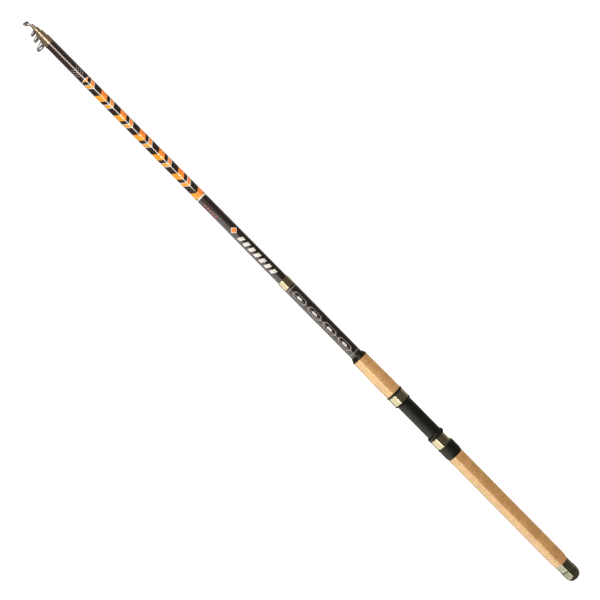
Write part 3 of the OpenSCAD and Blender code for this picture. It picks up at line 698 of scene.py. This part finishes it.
def turned_mesh(name, profiles, sides):
    """Closed solids turned about the rod's axis from profiles that run anticlockwise."""
    verts, faces = [], []
    for profile in profiles:
        rings = []
        for radius, height in profile:
            first = len(verts)
            count = sides if radius else 1
            for k in range(count):
                angle = math.tau * k / sides
                verts.append((radius * math.cos(angle) * MM, radius * math.sin(angle) * MM, height * MM))
            rings.append([first + (k if radius else 0) for k in range(sides)])
        for low, high in zip(rings, rings[1:] + rings[:1]):
            for k in range(sides):
                corners = (low[k], low[(k + 1) % sides], high[(k + 1) % sides], high[k])
                corners = tuple(dict.fromkeys(corners))
                if len(corners) > 2:
                    faces.append(corners)
    mesh = bpy.data.meshes.new(name)
    mesh.from_pydata(verts, [], faces)
    mesh.shade_smooth()
    mesh.set_sharp_from_angle(angle=SHARP_EDGE)
    return mesh


def place_piece(mesh, finish, body, slot, *stands_for):
    """Links a piece, gives it its finish, hangs it from what carries it and hides the solids that it stands
    for.
    """
    piece = bpy.data.objects.new(mesh.name, mesh)
    bpy.context.scene.collection.objects.link(piece)
    mesh.materials.append(finish_named(finish))
    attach(piece, body)
    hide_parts(*stands_for)
    return piece


def finely(profile, step):
    """A profile with its long sides cut into short steps."""
    cut = []
    for (r0, z0), (r1, z1) in zip(profile, profile[1:] + profile[:1]):
        count = max(1, round(abs(z1 - z0) / step)) if r0 and r1 else 1
        cut += [(r0 + (r1 - r0) * k / count, z0 + (z1 - z0) * k / count) for k in range(count)]
    return cut


def cork_profile(bore, side, depth, width):
    """One cork ring from its outer side, with its edges rounded into the seams."""
    (rear, low), (front, high) = side[0], side[-1]
    rear_edge = [(bore, low), (rear - depth, low), (rear, low + width)]
    front_edge = [(front, high - width), (front - depth, high), (bore, high)]
    return rear_edge + side[1:-1] + front_edge


def sand(mesh, least, waver):
    """Moves the outer surface in and out a little, as hand sanding leaves it."""
    for vert in mesh.vertices:
        radius = math.hypot(vert.co.x, vert.co.y)
        if radius > least * MM:
            push = 1 + noise.noise(vert.co * WAVER_RATE) * waver / radius
            vert.co.x *= push
            vert.co.y *= push


# Operators

class ROD_OT_blanks(bpy.types.Operator):
    """Make the six sections: lacquered tubes and the solid tip"""

    bl_idname = "rod.blanks"
    bl_label = "Sections"

    def execute(self, context):
        sections = (
            ("handle_blank", "handle_blank", "handle", "handle_tube"),
            ("second_blank", "painted_blank", "second_section", "second_tube"),
            ("third_blank", "plain_blank", "third_section", "third_tube"),
            ("fourth_blank", "plain_blank", "fourth_section", "fourth_tube"),
            ("fifth_blank", "plain_blank", "fifth_section", "fifth_tube"),
            ("tip_blank", "plain_blank", "tip_section", "tip_rod"),
        )
        for name, finish, body, node in sections:
            mesh = turned_mesh(name, [tube_profile(node)], context.scene.rod_sizes.sides)
            place_piece(mesh, finish, body, "blank", node)
        return {"FINISHED"}


class ROD_OT_corks(bpy.types.Operator):
    """Make the two grips of glued cork rings"""

    bl_idname = "rod.corks"
    bl_label = "Cork grips"

    def execute(self, context):
        sizes = context.scene.rod_sizes
        depth, width = sizes.seam_depth / MM, sizes.seam_width / MM
        for name, finish, node in (("rear_cork_grip", "rear_cork", "rear_grip_corks"),
                                   ("front_cork_grip", "front_cork", "front_grip_corks")):
            bore, sides = cork_sides(node)
            profiles = [finely(cork_profile(bore, side, depth, width), CORK_CUT) for side in sides]
            mesh = turned_mesh(name, profiles, sizes.sides)
            sand(mesh, (bore + sides[0][0][0]) / 2, sizes.cork_waver)
            place_piece(mesh, finish, "handle", "cork", node)
        return {"FINISHED"}


class ROD_OT_seat(bpy.types.Operator):
    """Finish the reel seat: black mouldings, bright bands and the hidden arbors"""

    bl_idname = "rod.seat"
    bl_label = "Reel seat"

    def execute(self, context):
        coat_nodes("black_plastic", "reel_seat_body", "moving_hood_liner", "lock_nut")
        coat_nodes("black_plastic", "seat_trim_ring", "winding_check")
        coat_nodes("nickel", "moving_hood_band", "fixed_hood_band", "hood_washer", "mouth_ring")
        coat_nodes("tape", "seat_arbors")
        return {"FINISHED"}


class ROD_OT_butt(bpy.types.Operator):
    """Finish the butt cap, its ferrule and its cushion pad"""

    bl_idname = "rod.butt"
    bl_label = "Butt cap"

    def execute(self, context):
        coat_nodes("gunmetal", "butt_cap", "butt_ferrule")
        coat_nodes("rubber", "cap_pad")
        return {"FINISHED"}


class ROD_OT_guides(bpy.types.Operator):
    """Finish the line guides: collars, wire frames and hard rings"""

    bl_idname = "rod.guides"
    bl_label = "Line guides"

    def execute(self, context):
        sizes = ("large_guide", "middle_guide", "small_guide")
        coat_nodes("gold", *(f"{size}_collar" for size in sizes), "tip_top_socket")
        coat_nodes("wire", *(f"{size}_frame" for size in sizes), "tip_top_frame")
        coat_nodes("ceramic", *(f"{size}_ring" for size in sizes), "tip_top_ring")
        return {"FINISHED"}


# Stage

TARGET = Vector((-0.0026, 0, 0.5553))
FIELD = 0.852
LENS = 59
SENSOR = 36
NEAREST = 0.01
ROLL = math.radians(45.41)
VIEW_RIGHT = Vector((math.sin(ROLL), 0, -math.cos(ROLL)))
VIEW_UP = Vector((math.cos(ROLL), 0, math.sin(ROLL)))
VIEW_BACK = Vector((0, -1, 0))
NEUTRAL = (1.0, 0.97, 0.92)
WARM = (1.0, 0.90, 0.80)
CAP_TRAVEL = next(joint["range_m"][1] for joint in frame["joints"] if joint["name"] == "cap_slide")
FLOOR_GAP = 0.001
FLOOR_SIDES = 64
FLOOR_RINGS = 6
FLOOR_START = 0.03
FLOOR_GROWTH = 2.9
FLOOR_SHADES = ((0.84, 0.84, 0.84), (0.88, 0.88, 0.88))
BACKDROP = 1.1
ROOM_DIM = 0.28
ROOM_PALE = 0.8
ROOM_COLOUR = (1.0, 0.9, 0.76)
WHITE = (1, 1, 1)


def soft_box(name, *, angle, distance, width, low, high, radiance, colour):
    """A softbox between two heights, at an angle in degrees from the camera's side, positive to the right."""
    height = high - low
    light = bpy.data.lights.new(name, "AREA")
    light.shape = "RECTANGLE"
    light.size = width
    light.size_y = height
    light.energy = radiance * math.pi * width * height
    light.color = colour
    box = bpy.data.objects.new(name, light)
    turn = math.radians(angle)
    box.location = (distance * math.sin(turn), -distance * math.cos(turn), (low + high) / 2)
    box.rotation_euler = (math.radians(90), 0, turn)
    box.visible_camera = False
    bpy.context.scene.collection.objects.link(box)
    return box


def make_camera():
    """Camera at the photograph's angle: level, square to the rod, rolled so the tip points up to the left."""
    camera = bpy.data.objects.new("rod_camera", bpy.data.cameras.new("rod_camera"))
    camera.data.lens = LENS
    camera.data.sensor_width = SENSOR
    camera.data.clip_start = NEAREST
    turn = Matrix((VIEW_RIGHT, VIEW_UP, VIEW_BACK)).transposed()
    place = TARGET + VIEW_BACK * (LENS * FIELD / SENSOR)
    camera.matrix_world = Matrix.Translation(place) @ turn.to_4x4()
    bpy.context.scene.collection.objects.link(camera)
    bpy.context.scene.camera = camera


def make_floor():
    """Pale floor just below the unscrewed butt cap, bright enough to vanish into the background."""
    verts, faces = [(0, 0, 0)], []
    for ring in range(1, FLOOR_RINGS + 1):
        radius = FLOOR_START * FLOOR_GROWTH ** ring
        for k in range(FLOOR_SIDES):
            angle = math.tau * k / FLOOR_SIDES
            verts.append((radius * math.cos(angle), radius * math.sin(angle), 0))
    for k in range(FLOOR_SIDES):
        after = (k + 1) % FLOOR_SIDES
        faces.append((0, 1 + k, 1 + after))
        for ring in range(FLOOR_RINGS - 1):
            inner = 1 + ring * FLOOR_SIDES
            outer = inner + FLOOR_SIDES
            faces.append((inner + k, outer + k, outer + after, inner + after))
    mesh = bpy.data.meshes.new("pale_floor")
    mesh.from_pydata(verts, [], faces)
    floor = bpy.data.objects.new("pale_floor", mesh)
    floor.location.z = -CAP_TRAVEL - FLOOR_GAP
    floor.visible_glossy = False
    bpy.context.scene.collection.objects.link(floor)
    material, tree, shader = start_finish("pale_floor")
    speck = add(tree, "ShaderNodeTexNoise", {
        "Vector": object_place(tree), "Scale": 40.0, "Detail": 3.0}).outputs[0]
    set_surface(
        tree, shader,
        base_color=blend_paint(tree, speck, *FLOOR_SHADES),
        roughness=0.8,
        emission_color=(*WHITE, 1),
        emission_strength=add(tree, "ShaderNodeLightPath").outputs["Is Camera Ray"])
    mesh.materials.append(material)


def make_world():
    """White behind the rod, and a dim warm room with a pale ceiling and far right side round it."""
    world = bpy.data.worlds.new("studio")
    world.use_nodes = True
    bpy.context.scene.world = world
    tree = world.node_tree
    path = add(tree, "ShaderNodeLightPath").outputs
    out_from_rod = add(tree, "ShaderNodeTexCoord").outputs["Generated"]
    way = add(tree, "ShaderNodeSeparateXYZ", {0: out_from_rod}).outputs
    far_right = both(tree, window(tree, way["X"], 0.05, 0.35), window(tree, way["Y"], 0.0, 0.3))
    overhead = window(tree, way["Z"], 0.6, 0.9)
    seen = span(tree, either(tree, far_right, overhead), ROOM_DIM, ROOM_PALE)
    behind = calc(tree, "SUBTRACT", BACKDROP, seen)
    strength = calc(tree, "MULTIPLY_ADD", path["Is Camera Ray"], behind, seen)
    colour = blend_paint(tree, path["Is Camera Ray"], ROOM_COLOUR, WHITE)
    tree.links.new(strength, tree.nodes["Background"].inputs["Strength"])
    tree.links.new(colour, tree.nodes["Background"].inputs["Color"])


class ROD_OT_stage(bpy.types.Operator):
    """Set the camera, the pale floor and the soft studio light"""

    bl_idname = "rod.stage"
    bl_label = "Stage"

    def execute(self, context):
        context.scene.view_settings.view_transform = "Standard"
        make_camera()
        make_floor()
        make_world()
        for box in (
            soft_box("broad_gloss_box", angle=-75, distance=1.5, width=3.5, low=-1.4, high=1.0,
                     radiance=3.2, colour=NEUTRAL),
            soft_box("edge_gloss_box", angle=-26, distance=2.2, width=0.08, low=-1.6, high=1.0,
                     radiance=22.0, colour=NEUTRAL),
            soft_box("strip_gloss_box", angle=-4, distance=2.2, width=0.6, low=1.12, high=2.9,
                     radiance=28.0, colour=WARM),
        ):
            box.visible_diffuse = False
        for box in (
            soft_box("front_soft_box", angle=-15, distance=2.0, width=2.6, low=0.3, high=2.4,
                     radiance=2.3, colour=NEUTRAL),
            soft_box("back_soft_box", angle=165, distance=2.0, width=2.6, low=0.3, high=2.4,
                     radiance=1.6, colour=NEUTRAL),
        ):
            box.visible_glossy = False
        return {"FINISHED"}


class ROD_PT_panel(bpy.types.Panel):
    """Lists the steps that dress the rod"""

    bl_idname = "ROD_PT_panel"
    bl_label = "Fishing rod"
    bl_space_type = "VIEW_3D"
    bl_region_type = "UI"
    bl_category = "Rod"

    def draw(self, context):
        for step in STEPS:
            self.layout.operator(step.bl_idname)
        for group in (context.scene.rod_sizes, context.scene.rod_colours):
            box = self.layout.box()
            for key in group.__annotations__:
                box.prop(group, key)


STEPS = (ROD_OT_stage, ROD_OT_blanks, ROD_OT_corks, ROD_OT_seat, ROD_OT_butt, ROD_OT_guides)
CLASSES = (RodSizes, RodColours, *STEPS, ROD_PT_panel)


def register():
    """Makes the settings, steps and panel known to Blender."""
    for each in CLASSES:
        bpy.utils.register_class(each)
    bpy.types.Scene.rod_sizes = PointerProperty(type=RodSizes)
    bpy.types.Scene.rod_colours = PointerProperty(type=RodColours)


def unregister():
    """Takes the settings, steps and panel out of Blender."""
    del bpy.types.Scene.rod_colours
    del bpy.types.Scene.rod_sizes
    for each in reversed(CLASSES):
        bpy.utils.unregister_class(each)


def main():
    """Dresses the rod step by step."""
    register()
    bpy.ops.rod.stage()
    bpy.ops.rod.blanks()
    bpy.ops.rod.corks()
    bpy.ops.rod.seat()
    bpy.ops.rod.butt()
    bpy.ops.rod.guides()


if __name__ == "__main__":
    main()
